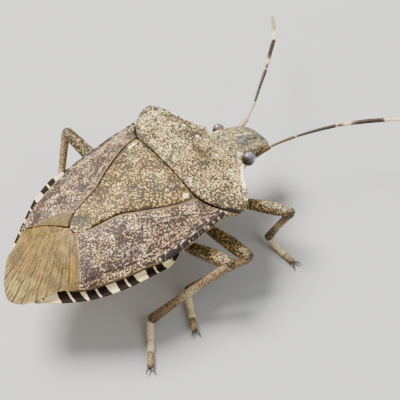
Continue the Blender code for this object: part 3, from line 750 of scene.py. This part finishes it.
def bodyRing(sign, s):  # half a ring, from the middle of the back to the middle of the belly
    p = bodyCore
    onAbdomen = ramp(7.9, 8.5, s)
    lobed = ramp(13.7, abdomenEnd, s)
    if s < 4.7:
        edgeX = sideMargin(s) - 0.05
        edgeZ = marginHeight(s) - 0.13
    else:
        toWing = ramp(4.7, 5.4, s)
        edgeX = mix(4.28, wingHalf(s) - 0.05, toWing)
        edgeZ = mix(4.67, backSurface(wingHalf(s), s) - 0.13, toWing)
    coverX = edgeX if s < 5.4 else wingEdge(sign, s) - 0.12
    coverZ = min(edgeZ, backSurface(coverX, s) - 0.16) if s >= 5.4 else edgeZ
    if onAbdomen:
        edgeX = mix(edgeX, rimEdge(sign, s), onAbdomen)
        edgeZ = mix(edgeZ, rimHeight(s) + (0.06 if sign > 0 else 0.0), onAbdomen)
    seam = bump(0, 0.045, seamDistance(sign * edgeX, s))
    edgeX -= p["seamDepth"] * seam
    places = []
    for k in range(p["topPoints"]):
        share = k / (p["topPoints"] - 1)
        x = coverX * share
        z = backSurface(x, s) - mix(0.45, 0.16, share ** 2)
        places.append((x, min(z, coverZ) if share == 1 else z))
    underCover = places[-1][1]
    for k in range(1, p["rimPoints"] + 1):
        share = k / p["rimPoints"]
        x = mix(coverX, edgeX, share)
        z = mix(underCover, edgeZ, min(1.0, share * 2)) if onAbdomen else mix(coverZ, edgeZ, share)
        places.append((x, z - 0.03 * seam))
    lowEdge = edgeZ - mix(0.2, 0.07, onAbdomen)
    places.append((edgeX + 0.01, edgeZ - 0.03))
    belly = bellyHeight(s)
    for k in range(p["underPoints"]):
        share = 1 - k / (p["underPoints"] - 1)
        straight = mix(belly, lowEdge, max(0.0, (share - 0.25) / 0.75) ** 1.1)
        rounded = mix(belly, lowEdge, share ** 1.9)
        seam = bump(0, 0.045, seamDistance(sign * edgeX * share, s))
        z = mix(straight, rounded, onAbdomen) + 0.03 * seam * (1 - share ** 6)
        places.append((edgeX * share * (1 - 0.012 * seam), z))
    return [(sign * x, s + lobed * rearLobes(min(x, 1.62)), z) for x, z in places]


def makeBody():
    p = bodyCore
    stations = [mix(p["start"], abdomenEnd, k / (p["rings"] - 1)) for k in range(p["rings"])]
    mesh = skin([bodyRing(1, s) + bodyRing(-1, s)[-2:0:-1] for s in stations])

    def marks(x, s, z, u, v):
        inner, outer = (edge(x, min(s, abdomenEnd)) for edge in (wingEdge, rimEdge))
        # 0 at the wing's edge, 1 at the abdomen's own edge
        out = (abs(x) - inner) / (outer - inner) if s > 8.2 else -9.0
        rim = ramp(-1.2, -1.0, out)
        gap = seamDistance(x, s)
        square = ramp(0.03, 0.06, gap) * fade(0.42 + 0.06 * out, 0.48 + 0.06 * out, gap)
        above = ramp(-0.09, -0.05, z - rimHeight(s))
        under = 0.9 * fade(0.1, 0.2, off(abs(x) - abdomenHalf(min(s, abdomenEnd)) + 0.45, gap))
        covered = 0.75 * (1 - rim) * ramp(3.6, 3.9, z) * ramp(8.0, 9.0, s)
        shell = sideMargin(s) if s < 4.7 else wingHalf(s)
        side = 1.8 * ramp(-0.5, -0.2, abs(x) - shell) * fade(7.8, 8.4, s) * ramp(3.3, 3.8, z)
        return dict(
            pale=0.9 * rim * ramp(-0.2, -0.1, z - rimHeight(s)),
            dark=max(square * rim * above, under * (1 - above) if s > 8.4 else 0.0, covered),
            rust=max(fade(0.02, 0.05, gap) * rim, 0.4 * ramp(0.0, 0.4, grain(x, s, z, 1.4, 2.2))),
            dense=side, smooth=0.5 * rim)

    paintMarks(mesh, marks)
    finish(mesh, "body_skin", shellMaterial("body skin", bodyLook),
           instead=["thorax", "abdomen"], smooth=1.0)


makeBody()

# Head
headLook = dict(
    shellLook, ground=(0.62, 0.47, 0.2), groundToo=(0.4, 0.31, 0.15), rust=(0.52, 0.38, 0.17),
    pale=(0.85, 0.72, 0.4), pit=(0.045, 0.035, 0.02), dark=(0.025, 0.02, 0.02),
    cool=(0.1, 0.125, 0.13), pitToo=(0.035, 0.038, 0.036), pitSize=0.1, cover=0.56, denser=0.1,
    pitShade=0.8, veil=0.15, relief=0.035, cloudSize=0.6, blotchSize=0.5, blotch=0.6, maze=0.9,
    clump=0.2)
head = dict(end=2.9, rings=100, points=80, clypeusMiddle=-0.1, clypeusHalf=0.23, clypeusEnd=1.35)
headHalf = curveThrough(
    (0, 0.3), (0.1, 0.58), (0.3, 0.84), (0.5, 0.93), (0.9, 1.0), (1.3, 1.03), (1.9, 1.1),
    (2.33, 1.12), (2.9, 1.1))
headCrown = curveThrough(
    (0, 2.98), (0.1, 3.15), (0.5, 3.55), (0.9, 3.85), (1.3, 4.08), (1.9, 4.33), (2.33, 4.42),
    (2.9, 4.3))
headEdge = curveThrough(
    (0, 2.9), (0.1, 3.0), (0.3, 3.2), (0.5, 3.38), (0.9, 3.62), (1.3, 3.82), (1.9, 4.03),
    (2.33, 4.06), (2.9, 3.9))
headBelly = curveThrough((0, 2.6), (0.5, 2.4), (1.3, 2.3), (1.9, 2.3), (2.9, 2.5))


def headRing(s):
    half, crown, edge, belly = headHalf(s), headCrown(s), headEdge(s), headBelly(s)
    onSnout = fade(head["clypeusEnd"] - 0.15, head["clypeusEnd"] + 0.2, s)
    places = []
    for k in range(head["points"]):
        angle = 2 * pi * k / head["points"]
        across, up = cos(angle), sin(angle)
        side = 1 if across > 0 else -1
        if up >= 0:
            x = half * abs(across) ** 0.7 * side
            z = edge + (crown - edge) * up ** 0.6
            offMiddle = abs(x - head["clypeusMiddle"])
            z += 0.07 * fade(0.17, 0.25, offMiddle) * onSnout * ramp(0.0, 0.15, s)
            z -= 0.05 * bump(head["clypeusHalf"] + 0.03, 0.07, offMiddle) * onSnout
            z += 0.03 * grain(x, s, 1, 0.35) * min(1.0, up * 3)
        else:
            x = half * abs(across) ** mix(1.4, 1.0, ramp(1.4, 2.2, s)) * side
            z = edge - (edge - belly) * abs(up) ** 0.8
        places.append((x, s, z))
    return places


def makeHead():
    stations = [head["end"] * (k / (head["rings"] - 1)) ** 1.3 for k in range(head["rings"])]
    mesh = skin([headRing(s) for s in stations])

    def marks(x, s, z, u, v):
        offMiddle = x - head["clypeusMiddle"]
        line = 0.78 * bump(head["clypeusHalf"] + 0.03, 0.05, offMiddle)
        line *= ramp(0.4, 0.7, s) * fade(1.5, 1.8, s)
        behindEye = 1.2 * fade(0.2, 0.3, abs(abs(x) - 1.12) + abs(s - 2.2)) * ramp(3.6, 3.9, z)
        clypeus = 0.8 * fade(0.18, 0.3, abs(offMiddle)) * fade(1.0, 1.6, s)
        return dict(
            pale=max(line, behindEye, 0.42 * ramp(0.1, 0.5, grain(x, s, z, 0.16, 4.4))),
            dark=0.9 * spot(abs(x) - 0.5, s - 2.4, 0.2),
            cool=max(clypeus, 0.9 * spot(x + 0.5, (s - 1.5) / 1.6, 0.75)),
            rust=0.6 * ramp(0.2, 0.8, x), dense=0.2)

    paintMarks(mesh, marks)
    finish(mesh, "head_capsule", shellMaterial("head shell", headLook),
           instead=["head"])


makeHead()

# Compound eyes
eye = dict(
    x=1.31, s=1.87, z=3.87, radius=0.34, stretch=(0.92, 1.0, 1.22), facet=0.03,
    # painted light: the upper eye carries a painted reflection of the sky, the left eye a painted
    # warm tint of the light on it, and the underside painted shade
    skyReflection=(0.19, 0.17, 0.22), litTint=(0.19, 0.12, 0.09), band=(0.07, 0.045, 0.05),
    under=(0.012, 0.008, 0.01))


def eyeMaterial():
    paint = Paint("compound eye", eye["skyReflection"], Specular_IOR_Level=0.7, Coat_Weight=0.6,
                  Coat_Roughness=0.08, IOR=1.55)
    facets = paint.cells(eye["facet"], spread=0.15)
    # painted light: warm tint on the lit left eye
    paint.coat(eye["litTint"], paint.mark("litTint"))
    paint.coat(eye["band"], paint.noise(0.25).between(0.4, 0.62) * 0.6)
    # painted shade and highlight: dark underside, the painted light colours only where the eye
    # faces the light
    paint.base = paint.blend(eye["under"], paint.base, paint.mark("upper"))
    return paint.done(0.26 + facets * 0.2, 1 - facets, 0.006)


def makeEye(side, sign, material):
    mesh = bmesh.new()
    upper = mesh.verts.layers.float.new("upper")
    litTint = mesh.verts.layers.float.new("litTint")
    bmesh.ops.create_icosphere(mesh, subdivisions=5, radius=eye["radius"] * mm)
    bmesh.ops.scale(mesh, vec=eye["stretch"], verts=mesh.verts)
    for vert in mesh.verts:
        # painted highlight: lighter where the eye faces up and forward, shaded below
        vert[upper] = ramp(-0.1, 0.9, (0.6 * vert.co.z - 0.7 * vert.co.y) / (eye["radius"] * mm))
        # painted light: only the left eye is given the warm lit tint
        vert[litTint] = 1.0 if sign > 0 else 0.0
    bmesh.ops.translate(mesh, vec=place(sign * eye["x"], eye["s"], eye["z"]), verts=mesh.verts)
    finish(mesh, f"compound_eye_{side}", material, instead=[f"eye_{side}"])


bothSides(makeEye, eyeMaterial())


# Beak
def limbMaterial(name, look):
    # smooth horn with dark specks; marks: pale, brown and black bands painted by attributes
    paint = Paint(name, look["ground"], Specular_IOR_Level=0.35, Coat_Weight=0.05,
                  Coat_Roughness=0.3)
    fine = paint.noise(0.12)
    paint.coat(look["groundToo"], paint.noise(0.6).between(0.35, 0.65))
    paint.coat(look["brown"], paint.mark("brown"))
    paint.coat(look["pale"], paint.mark("pale"))
    reach = paint.mark("dense") * 0.2 + look["speckReach"]
    cells = paint.cells(look["speckSize"], paint.warped(0.2, 0.05))
    speck = 1 - (cells - reach).between(0.0, 0.14)
    speck = speck * (1 - paint.mark("pale") * 0.85) * look["specks"]
    paint.coat(look["black"], speck)
    paint.coat(look["black"], (paint.mark("black") + (fine - 0.5) * 0.3).between(0.3, 0.7))
    return paint.done(0.4 + fine * 0.25, fine - speck * 0.5, 0.015)


def limbPart(a, b, rise, girth, detail, marks, reach=0.0):
    # round, bowed part from a to b; detail: rings along it and points round each
    count, points = detail
    shares = [k / (count - 1) for k in range(count)]
    bow = [Vector((0, 0, rise * sin(pi * share))) for share in shares]
    path = [mix(a, b, mix(-reach, 1 + reach, share)) + up for share, up in zip(shares, bow)]
    mesh = skin(tubeRings(path, [girth(share) for share in shares], points))
    paintMarks(mesh, marks)
    return mesh


legLook = dict(
    ground=(0.45, 0.33, 0.13), groundToo=(0.3, 0.21, 0.09), brown=(0.2, 0.115, 0.058),
    pale=(0.85, 0.68, 0.38), black=(0.025, 0.014, 0.007), speckSize=0.1, specks=0.95,
    speckReach=0.33)
beakLook = dict(legLook, specks=0.15, speckReach=0.3)
beak = dict(
    rings=90, points=20, radius=0.2, joints=(0.2, 0.47, 0.73),
    path=((0, 0.5, 2.75), (0, 0.62, 2.4), (0, 1.0, 2.08), (0, 1.6, 1.82), (0, 2.4, 1.58),
          (0, 3.2, 1.42), (0, 4.4, 1.33), (0, 5.6, 1.29), (0, 6.6, 1.27), (0, 6.9, 1.27)))


def smoothPath(points, count):  # evenly spaced places on a smooth curve through the points
    lengths = [0.0]
    for a, b in zip(points, points[1:]):
        lengths.append(lengths[-1] + (Vector(b) - Vector(a)).length)
    axes = [curveThrough(*zip(lengths, values)) for values in zip(*points)]
    return [tuple(axis(lengths[-1] * k / (count - 1)) for axis in axes) for k in range(count)]


def makeBeak():
    radii = []
    for k in range(beak["rings"]):
        share = k / (beak["rings"] - 1)
        taper = mix(1.0, 0.62, share) * (1 - 0.7 * ramp(0.96, 1.0, share))
        taper *= 0.6 + 0.4 * ramp(0, 0.04, share)
        pinch = 1 - 0.2 * max(bump(joint, 0.02, share) for joint in beak["joints"])
        radii.append(beak["radius"] * taper * pinch)
    mesh = skin(tubeRings(smoothPath(beak["path"], beak["rings"]), radii, beak["points"]))
    paintMarks(mesh, lambda x, s, z, u, v: dict(brown=ramp(0.5, 1.0, v),
                                                black=ramp(0.88, 0.96, v)))
    finish(mesh, "beak", limbMaterial("beak horn", beakLook), instead=["rostrum"])


makeBeak()

# Antennae
antennaLook = dict(
    ground=(0.09, 0.05, 0.02), groundToo=(0.06, 0.035, 0.017), brown=(0.12, 0.06, 0.014),
    pale=(0.85, 0.68, 0.36), black=(0.022, 0.012, 0.007), speckSize=0.12, specks=0.6,
    speckReach=0.34)
antennaRoot = (0.95, 1.2, 3.4)
antennaJoints = {
    "right": ((-1.05, 0.31, 3.38), (-1.36, -1.18, 3.3), (-2.33, -3.09, 3.48), (-4.02, -5.37, 3.61),
              (-5.57, -7.26, 3.11)),
    "left": ((1.25, 0.07, 3.43), (1.98, -0.98, 3.38), (3.11, -2.66, 3.84), (5, -4.7, 3.47),
             (7.02, -5.99, 2.77)),
}
# each segment: radius at its root, middle and end, and how much it bows
antennaSegments = ((0.14, 0.15, 0.12, 0.0), (0.066, 0.073, 0.085, 0.03), (0.072, 0.087, 0.1, 0.05),
                   (0.075, 0.12, 0.115, 0.08), (0.09, 0.115, 0.07, 0.12))
antennaDetail = (41, 18)


def antennaMarks(i, light):  # bands of the segment of that number; light: least share of pale
    def marks(x, s, z, u, v):
        return dict(
            pale=(max(0.8 * bump(1.0, 0.1, v), light), max(0.5 * bump(0.93, 0.07, v), light),
                  ramp(0.965, 0.985, v), max(bump(0.2, 0.12, v), ramp(0.84, 0.88, v)),
                  1 - 0.65 * ramp(0.14, 0.26, v))[i],
            brown=(0.9, 0.7, 0.2, 0.7 * (1 - v), 0.3)[i],
            black=(0.25 * grain(x, s, z, 0.2), 0.2, 0.55 * fade(0.93, 0.96, v),
                   0.6 * ramp(0.28, 0.4, v) * fade(0.8, 0.86, v), 0.0)[i])
    return marks


def makeAntenna(side, sign, material):
    root = (sign * antennaRoot[0], *antennaRoot[1:])
    joints = [Vector(joint) for joint in (root, *antennaJoints[side])]
    shapes = []
    for i, (start, middle, end, bow) in enumerate(antennaSegments):
        girth = curveThrough((0, start * 0.55), (0.04, start), (0.5, middle), (0.93, end),
                             (1, end * 0.6))
        shapes.append(limbPart(joints[i], joints[i + 1], bow, girth, antennaDetail,
                               antennaMarks(i, 0.5 if sign > 0 else 0.0), reach=0.01))
    finish(joinShapes(shapes), f"feeler_{side}", material,
           instead=[f"antenna_{side}"])


bothSides(makeAntenna, limbMaterial("antenna horn", antennaLook))

# Legs
legs = {
    ("front", "right"): ((1.05, 3.8), (4.82, 1.94, 2.8), (3.7, 2.88), (5.7, 2.78)),
    ("middle", "right"): ((1.3, 5.5), (5.47, 5.16, 2.6), (3.65, 8.07), (5.75, 9.1)),
    ("hind", "right"): ((1.55, 7.2), (5.8, 6.4, 3.5), (3.85, 10.5), (6.05, 12.05)),
    ("front", "left"): ((1.05, 3.8), (3.75, 2.7, 2.5), (2.75, 1.3), (3.9, 0.2)),
    ("middle", "left"): ((1.3, 5.5), (4.85, 5, 2.2), (3.65, 8.07), (5.6, 9.1)),
    ("hind", "left"): ((1.55, 7.2), (6.68, 8.01, 4), (4.57, 10.8), (5.3, 12.4)),
}
hipHeight = dict(front=1.95, middle=1.8, hind=1.8)
leg = dict(
    ankle=0.42, toe=0.19, femur=0.375, femurBow=0.08, tibia=0.24, tibiaBow=0.1, tarsus=0.185,
    claw=0.4, frontShare=0.88)
# rings along each part and points round it
legDetail = dict(
    coxa=(20, 24), trochanter=(16, 22), femur=(60, 26), tibia=(60, 22), tarsus=(24, 18),
    claw=(16, 12))


def legMarks(**amounts):  # each a number or a function of the share along the part
    def marks(x, s, z, u, v):
        return {name: amount(v) if callable(amount) else amount
                for name, amount in amounts.items()}
    return marks


def makeLeg(side, sign, pair, material, clawMaterial):
    hip, knee, ankle, toe = legs[pair, side]
    hip = Vector((sign * hip[0], hip[1], hipHeight[pair]))
    knee = Vector((sign * knee[0], *knee[1:]))
    ankle = Vector((sign * ankle[0], ankle[1], leg["ankle"]))
    toe = Vector((sign * toe[0], toe[1], leg["toe"]))
    thigh, shin, foot = (knee - hip).normalized(), (ankle - knee).normalized(), toe - ankle
    slim = leg["frontShare"] if pair == "front" else 1.0
    r, t, f = (leg[name] * slim for name in ("femur", "tibia", "tarsus"))
    coxa = curveThrough((0, 0.55), (0.5, 0.5), (0.85, 0.4), (1, 0.2))
    trochanter = curveThrough((0, 0.15), (0.2, 0.3), (0.7, 0.3), (1, 0.2))
    femur = curveThrough((0, r * 0.3), (0.05, r * 0.62), (0.3, r * 0.88), (0.6, r), (0.85, r * 0.9),
                         (0.96, r * 0.8), (1, r * 0.45))
    tibia = curveThrough((0, t * 0.6), (0.04, t), (0.12, t * 0.92), (0.5, t * 0.86), (0.85, t),
                         (0.97, t * 1.08), (1, t * 0.7))
    tarsus = curveThrough((0, f * 0.5), (0.12, f * 0.85), (0.7, f), (0.93, f * 0.9), (1, f * 0.4))
    femurMarks = legMarks(brown=lambda v: 0.6 * ramp(0.8, 1.0, v),
                          black=lambda v: 0.5 * ramp(0.88, 1, v),
                          dense=1.3 if (pair, side) == ("hind", "left") else 0.9)
    tibiaMarks = legMarks(pale=lambda v: 0.3 * bump(0.5, 0.2, v),
                          brown=lambda v: 0.75 + 0.25 * ramp(0.6, 0.9, v),
                          black=lambda v: 0.5 * ramp(0.75, 1.0, v) + 0.4 * fade(0, 0.1, v))
    detail = legDetail
    shapes = [
        limbPart(hip + Vector((-sign * 0.05, 0, 0.35)), hip + thigh * 0.55, 0, coxa,
                 detail["coxa"], legMarks()),
        limbPart(hip + thigh * 0.4, hip + thigh * 0.95, 0, trochanter, detail["trochanter"],
                 legMarks(brown=0.3)),
        limbPart(hip + thigh * 0.75, knee + thigh * 0.12, leg["femurBow"], femur,
                 detail["femur"], femurMarks),
        limbPart(knee - shin * 0.02, ankle, leg["tibiaBow"], tibia, detail["tibia"], tibiaMarks)]
    for start, end, black in ((0.0, 0.42, 0.0), (0.4, 0.66, 0.0), (0.64, 1.0, 0.55)):
        a, b = ankle + foot * start, ankle + foot * end
        a.z = mix(leg["ankle"], leg["toe"], ramp(0, 0.35, start))
        b.z = leg["toe"]
        marks = legMarks(pale=0.1 if black else 0.8, brown=0.4, black=lambda v: black * v)
        shapes.append(limbPart(a, b, 0, tarsus, detail["tarsus"], marks))
    finish(joinShapes(shapes), f"leg_{pair}_{side}", material,
           instead=[f"{part}_{pair}_{side}" for part in ("femur", "tibia", "tarsus")])
    ahead = Vector((foot.x, foot.y, 0)).normalized()
    across = Vector((-ahead.y, ahead.x, 0))
    rings, points = detail["claw"]
    claws = []
    for spread in (-1, 1):
        path = (toe - ahead * 0.1 + across * spread * 0.04,
                toe + ahead * 0.15 + across * spread * 0.16 + Vector((0, 0, 0.06)),
                toe + leg["claw"] * (ahead * 0.8 + across * spread * 0.6) - Vector((0, 0, 0.1)))
        radii = [mix(0.085, 0.012, k / (rings - 1)) for k in range(rings)]
        claws.append(skin(tubeRings(smoothPath([tuple(p) for p in path], rings), radii, points)))
    finish(joinShapes(claws), f"claws_{pair}_{side}", clawMaterial)


def clawMaterial():
    paint = Paint("claw horn", (0.03, 0.02, 0.015), Specular_IOR_Level=0.6, Coat_Weight=0.4,
                  Coat_Roughness=0.15)
    shade = paint.noise(0.2)
    paint.coat((0.1, 0.055, 0.03), shade.between(0.4, 0.7))
    return paint.done(0.2 + shade * 0.2)


legHorn = limbMaterial("leg horn", legLook)
clawHorn = clawMaterial()
for pair in ("front", "middle", "hind"):
    bothSides(makeLeg, pair, legHorn, clawHorn)


# Floor, light and camera; each light has its place, size, watts and tint
studio = dict(
    floorSize=0.6, floorColour=(0.42, 0.42, 0.41), floorColourToo=(0.45, 0.45, 0.44),
    skyColour=(0.93, 0.95, 1.0, 1.0), skyStrength=0.48,
    key=((0.13, 0.03, 0.25), 0.16, 2.7, (1.0, 0.98, 0.94)),
    fill=((-0.22, -0.10, 0.18), 0.2, 0.4, (0.92, 0.96, 1.0)), lightsAim=(0, 0, 0.004),
    sensor=36, lens=125.7, nearest=0.002, farthest=10)
cameraRight = Vector((-0.583, -0.80217, -0.12897))
cameraUp = Vector((0.58585, -0.52504, 0.61735))
cameraBack = Vector((-0.56293, 0.28436, 0.77605))
cameraSpot = place(-41.295, 17.285 + bodyLength / 2, 58.323)


def makeFloor():
    mesh = bmesh.new()
    bmesh.ops.create_grid(mesh, x_segments=1, y_segments=1, size=studio["floorSize"] / 2)
    paint = Paint("floor paper", studio["floorColour"], Roughness=0.85)
    paint.coat(studio["floorColourToo"], paint.noise(8))
    paint.feed("Base Color", paint.base)
    addThing("floor", meshData(mesh, "floor", paint.material))


def makeLight(name, where, size, watts, tint):
    light = bpy.data.lights.new(name, "AREA")
    light.shape = "DISK"
    light.size = size
    light.energy = watts
    light.color = tint
    lamp = addThing(name, light)
    lamp.location = where
    lamp.rotation_mode = "QUATERNION"
    aim = Vector(studio["lightsAim"])
    lamp.rotation_quaternion = (Vector(where) - aim).to_track_quat("Z", "Y")


def makeStudio():
    makeFloor()
    for name in ("key", "fill"):
        makeLight(name, *studio[name])
    world = bpy.data.worlds.new("studio")
    world.use_nodes = True
    sky = world.node_tree.nodes["Background"].inputs
    sky["Color"].default_value = studio["skyColour"]
    sky["Strength"].default_value = studio["skyStrength"]
    bpy.context.scene.world = world
    lens = bpy.data.cameras.new("camera")
    lens.sensor_width = studio["sensor"]
    lens.lens = studio["lens"]
    lens.clip_start = studio["nearest"]
    lens.clip_end = studio["farthest"]
    camera = addThing("camera", lens)
    turn = Matrix((cameraRight, cameraUp, cameraBack)).transposed()
    camera.matrix_world = Matrix.Translation(cameraSpot) @ turn.to_4x4()
    bpy.context.scene.camera = camera


makeStudio()
